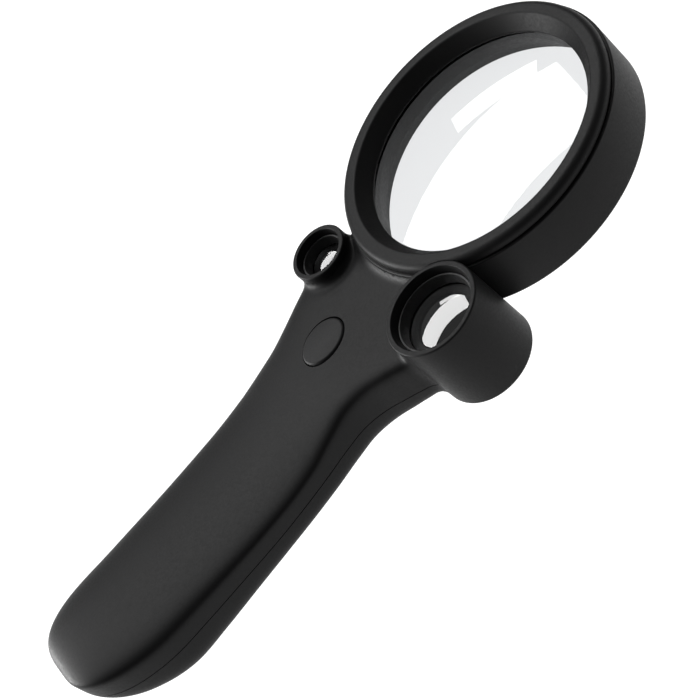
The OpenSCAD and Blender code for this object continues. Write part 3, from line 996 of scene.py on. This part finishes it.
@dataclass
class Button:
    """The elastic cap over the switch."""

    size: ButtonSize
    finishes: Finishes
    edge: float = 0.7
    dome: float = 0.7

    def cap(self, p: Array) -> Array:
        """Gives the cap's field, with its rounded edge, low dome and hidden flange.

        Args:
            p: The points.

        Returns:
            The field, negative inside.
        """
        s = self.size
        side = s.oval(p, -s.gap)
        span = (p[:, 0] / s.rx) ** 2 + ((p[:, 1] - s.y) / s.ry) ** 2
        crown = p[:, 2] - (s.top - self.dome * np.minimum(span, 1.2))
        qa, qb = side + self.edge, crown + self.edge
        body = np.hypot(np.maximum(qa, 0), np.maximum(qb, 0)) + np.minimum(np.maximum(qa, qb), 0) - self.edge
        body = np.maximum(body, s.low - p[:, 2])
        slab = np.maximum(s.low - p[:, 2], p[:, 2] - s.low - BUTTON_FLANGE_THICK)
        flange = np.maximum(s.oval(p, BUTTON_FLANGE), slab)
        return np.minimum(body, flange)

    def build(self) -> None:
        """Builds the cap."""
        s = self.size
        low = (-s.rx - 3, s.y - s.ry - 3, s.low - 2)
        high = (s.rx + 3, s.y + s.ry + 3, s.top + 2)
        solid = FieldSolid([self.cap], low, high, 0.22)
        cap = new_object("push_button", solid.build("push_button"), self.finishes.get(BUTTON_RUBBER))
        seat(cap, Body.BUTTON, "soft_black", "button_cap")


@dataclass
class Shells:
    """Front shell, rear shell and battery door."""

    shape: HandleShape
    button: ButtonSize
    finishes: Finishes
    seam: float = 0.13
    boss_r: float = 4.2
    hole_r: float = 1.6
    head_r: float = 3.0
    seat_z: float = -2.6
    blind_z: float = 7.0
    scoop_r: float = 16.0
    scoop_depth: float = 0.9
    scoop_inset: float = 8.0
    window_top: float = 1.2
    door_gap: float = 0.3
    door_corner: float = 2.6
    pitch: float = 0.62

    def __post_init__(self) -> None:
        """Reads the door and the screws from the frame."""
        low, high = cad_box_mm("battery_door")
        self.door_half = (high.x - low.x) / 2
        first, last = cad_box_mm("shell_screws")
        self.spots = ((0.0, first.y + SCREW_HEAD_R), (first.x + SCREW_HEAD_R, HEAD_SCREW_Y),
                      (last.x - SCREW_HEAD_R, HEAD_SCREW_Y))

    def bosses(self, p: Array) -> Array:
        """Gives the field of the screw bosses."""
        return np.min([plan_radius(p, x, y) for x, y in self.spots], axis=0) - self.boss_r

    def door_plan(self, p: Array, grow: float) -> Array:
        """Gives the field of the door's outline."""
        tail, head = DOOR_TAIL_Y - grow, DOOR_HEAD_Y + grow
        return rounded_plate(p, self.door_half + grow, tail, head, self.door_corner)

    def front_holes(self, p: Array) -> Array:
        """Positive in the blind screw holes of the front shell."""
        near = np.min([plan_radius(p, x, y) for x, y in self.spots], axis=0)
        return np.minimum(self.hole_r - near, self.blind_z - p[:, 2])

    def rear_holes(self, p: Array) -> Array:
        """Positive in the screw holes and head recesses of the rear shell."""
        near = np.min([plan_radius(p, x, y) for x, y in self.spots], axis=0)
        return np.maximum(self.hole_r - near, np.minimum(self.head_r - near, self.seat_z - p[:, 2]))

    def bounds(self, low_z: float, high_z: float) -> tuple[Point, Point]:
        """Gives the meshing box between two heights."""
        return (-33.0, self.shape.tail - 4, low_z), (50.0, -24.0, high_z)

    def front(self) -> None:
        """Builds the front shell."""
        shape = self.shape
        fields: list[Field] = [
            shape.outside,
            shape.lining(self.bosses),
            lambda p: shape.parting(p[:, 1]) + self.seam - p[:, 2],
            *shape.cuts(),
            lambda p: -self.button.oval(p, 0.0),
            self.front_holes,
        ]
        low, high = self.bounds(-2.0, 24.0)
        obj = new_object("front_shell", FieldSolid(fields, low, high, self.pitch).build("front_shell"),
                         self.finishes.get(SOFT_TOUCH))
        seat(obj, Body.ROOT, "soft_black", "handle_front_shell")

    def rear(self) -> None:
        """Builds the rear shell."""
        shape = self.shape
        fields: list[Field] = [
            shape.outside,
            shape.lining(self.bosses),
            lambda p: p[:, 2] - shape.parting(p[:, 1]) + self.seam,
            *shape.cuts(),
            lambda p: np.minimum(-self.door_plan(p, self.door_gap), self.window_top - p[:, 2]),
            self.rear_holes,
        ]
        low, high = self.bounds(-11.0, 10.0)
        obj = new_object("rear_shell", FieldSolid(fields, low, high, self.pitch).build("rear_shell"),
                         self.finishes.get(SOFT_TOUCH))
        seat(obj, Body.ROOT, "soft_black", "handle_rear_shell")

    def door(self) -> None:
        """Builds the battery door with its thumb scoop."""
        shape = self.shape
        scoop_y = DOOR_TAIL_Y + self.scoop_inset

        def scoop(p: Array) -> Array:
            """Positive in the shallow thumb scoop."""
            rise = p[:, 2] - shape.rest + self.scoop_r - self.scoop_depth
            return self.scoop_r - np.hypot(plan_radius(p, 0.0, scoop_y), rise)

        fields: list[Field] = [
            shape.handle,
            lambda p: -(shape.handle(p) + shape.wall),
            lambda p: self.door_plan(p, 0.0),
            lambda p: p[:, 2] - 0.8,
            scoop,
        ]
        low = (-self.door_half - 3, DOOR_TAIL_Y - 3, shape.rest - 3)
        high = (self.door_half + 3, DOOR_HEAD_Y + 3, 3.0)
        obj = new_object("door_panel", FieldSolid(fields, low, high, 0.5).build("door_panel"),
                         self.finishes.get(SOFT_TOUCH))
        seat(obj, Body.DOOR, "soft_black", "battery_door")


@dataclass
class InnerParts:
    """The pieces whose CAD shape is shown as it is, with their own finishes."""

    nodes: dict[str, bpy.types.Object]
    finishes: Finishes

    PLAN = {
        "main_lens_carrier": (INNER_BLACK, "inner_black"),
        "large_loupe_led_bracket": (INNER_BLACK, "inner_black"),
        "small_loupe_led_bracket": (INNER_BLACK, "inner_black"),
        "main_led_left": (EPOXY, "lamp"),
        "main_led_right": (EPOXY, "lamp"),
        "large_loupe_led": (EPOXY, "lamp"),
        "small_loupe_led": (EPOXY, "lamp"),
        "switch_plunger": (SWITCH, "switch_plastic"),
        "switch_body": (SWITCH, "switch_plastic"),
        "circuit_board": (BOARD, "board"),
        "board_resistors": (CERAMIC, "component"),
        "board_screws": (STEEL, "spring_steel"),
        "battery_end_walls": (INNER_BLACK, "inner_black"),
        "battery_left": (JACKET, "cell_jacket"),
        "battery_middle": (JACKET, "cell_jacket"),
        "battery_right": (JACKET, "cell_jacket"),
        "battery_springs": (STEEL, "spring_steel"),
        "head_contact_plate": (STEEL, "spring_steel"),
        "tail_contact_plate": (STEEL, "spring_steel"),
        "wire_positive": (RED_LEAD, "wire_red"),
        "wire_negative": (BLACK_LEAD, "wire_black"),
        "led_leads_main": (YELLOW_LEAD, "wire_yellow"),
        "led_leads_loupes": (YELLOW_LEAD, "wire_yellow"),
        "shell_screws": (STEEL, "spring_steel"),
    }

    def build(self) -> None:
        """Gives every kept node its finish."""
        for node, (finish, slot) in self.PLAN.items():
            obj = self.nodes[node]
            obj.data.materials.clear()
            obj.data.materials.append(self.finishes.get(finish))
            LOG.info("%s: kept, finish %s", node, finish.name)


# ---------------------------------------------------------------- studio


@dataclass(frozen=True)
class SoftBox:
    """A flat studio lamp aimed at the magnifier."""

    name: str
    place: tuple[float, float, float]
    width: float
    height: float
    watts: float
    aim: tuple[float, float, float] = (0.0, -0.06, 0.0)

    def build(self) -> None:
        """Makes the lamp."""
        data = bpy.data.lights.new(self.name, "AREA")
        data.shape = "RECTANGLE"
        data.size = self.width
        data.size_y = self.height
        data.energy = self.watts
        obj = bpy.data.objects.new(self.name, data)
        obj.location = self.place
        obj.rotation_euler = (Vector(self.aim) - Vector(self.place)).to_track_quat("-Z", "Y").to_euler()
        bpy.context.scene.collection.objects.link(obj)


@dataclass(frozen=True)
class Studio:
    """Pale floor, soft lamps, plain world and the camera."""

    floor_z: float = -0.058
    floor_glow: float = 0.94
    sky: float = 0.1
    boxes: tuple[SoftBox, ...] = (
        SoftBox("box_key", (-0.355, -0.04, 0.50), 0.74, 0.34, 3.5),
        SoftBox("box_step", (-0.50, 0.17, 0.36), 0.22, 0.08, 0.22),
        SoftBox("box_tail", (-0.34, -0.52, 0.22), 0.3, 0.2, 1.3, (0.0, -0.19, 0.01)),
        SoftBox("box_low", (-0.38, -0.58, 0.07), 0.3, 0.12, 3.0, (0.01, -0.10, 0.0)),
        SoftBox("box_fill", (0.55, 0.30, 0.55), 0.5, 0.5, 0.06),
    )

    def floor(self) -> None:
        """Makes the floor, bright enough to read as white paper."""
        mesh = bpy.data.meshes.new("floor")
        far = 4.0
        mesh.from_pydata([(-far, -far, self.floor_z), (far, -far, self.floor_z), (far, far, self.floor_z),
                          (-far, far, self.floor_z)], [], [(0, 1, 2, 3)])
        mat = bpy.data.materials.new("floor_paper")
        mat.use_nodes = True
        shader = mat.node_tree.nodes["Principled BSDF"]
        shader.inputs["Base Color"].default_value = (0.3, 0.3, 0.3, 1.0)
        shader.inputs["Roughness"].default_value = 1.0
        shader.inputs["Specular IOR Level"].default_value = 0.0
        shader.inputs["Emission Color"].default_value = (1.0, 1.0, 1.0, 1.0)
        shader.inputs["Emission Strength"].default_value = self.floor_glow
        new_object("floor", mesh, mat)

    def camera(self) -> None:
        """Places the camera."""
        data = bpy.data.cameras.new("camera")
        data.lens = 96.257
        data.sensor_width = 36.0
        data.clip_start = 0.01
        data.clip_end = 50.0
        obj = bpy.data.objects.new("camera", data)
        obj.location = (0.39690, -0.06035, 0.33700)
        turn = [math.radians(a) for a in (36.08108, 37.42330, 51.07396)]
        obj.rotation_euler = Euler(turn, "XYZ")
        bpy.context.scene.collection.objects.link(obj)
        bpy.context.scene.camera = obj

    def build(self) -> None:
        """Builds the floor, the lamps, the world and the camera."""
        self.floor()
        for box in self.boxes:
            box.build()
        world = bpy.data.worlds.new("studio_world")
        world.use_nodes = True
        back = world.node_tree.nodes["Background"]
        back.inputs["Color"].default_value = (1.0, 1.0, 1.0, 1.0)
        back.inputs["Strength"].default_value = self.sky
        bpy.context.scene.world = world
        self.camera()
        bpy.context.scene.view_settings.view_transform = "Standard"


def main() -> None:
    """Builds the magnifier's pieces in order, then the studio."""
    logging.basicConfig(level=logging.INFO, format="%(name)s: %(message)s")
    finishes = Finishes()
    large = Tube.around("large_loupe_barrel", "large_loupe_lens")
    small = Tube.of("small_loupe_barrel")
    ring_r = -cad_box_mm("lens_ring_wall")[0].x
    tail = cad_box_mm("handle_front_shell")[0].y + TAIL_INSET
    shape = HandleShape(ring_r, large, small, DECK_Z, large.rear, tail)
    LOG.info("ring %.2f, large %s, small %s, tail %.2f", ring_r, large, small, tail)
    LensRing(shape, finishes).build()
    Loupe("large", large, LoupeSize(12.0, 12.4, 12.2, 2.6), finishes).build(ring_r)
    Loupe("small", small, LoupeSize(7.2, 7.5, 10.6, 2.2), finishes).build()
    button = ButtonSize.of("button_cap")
    shells = Shells(shape, button, finishes)
    shells.front()
    shells.rear()
    shells.door()
    Button(button, finishes).build()
    InnerParts(frame["nodes"], finishes).build()
    Studio().build()


if __name__ == "__main__":
    main()
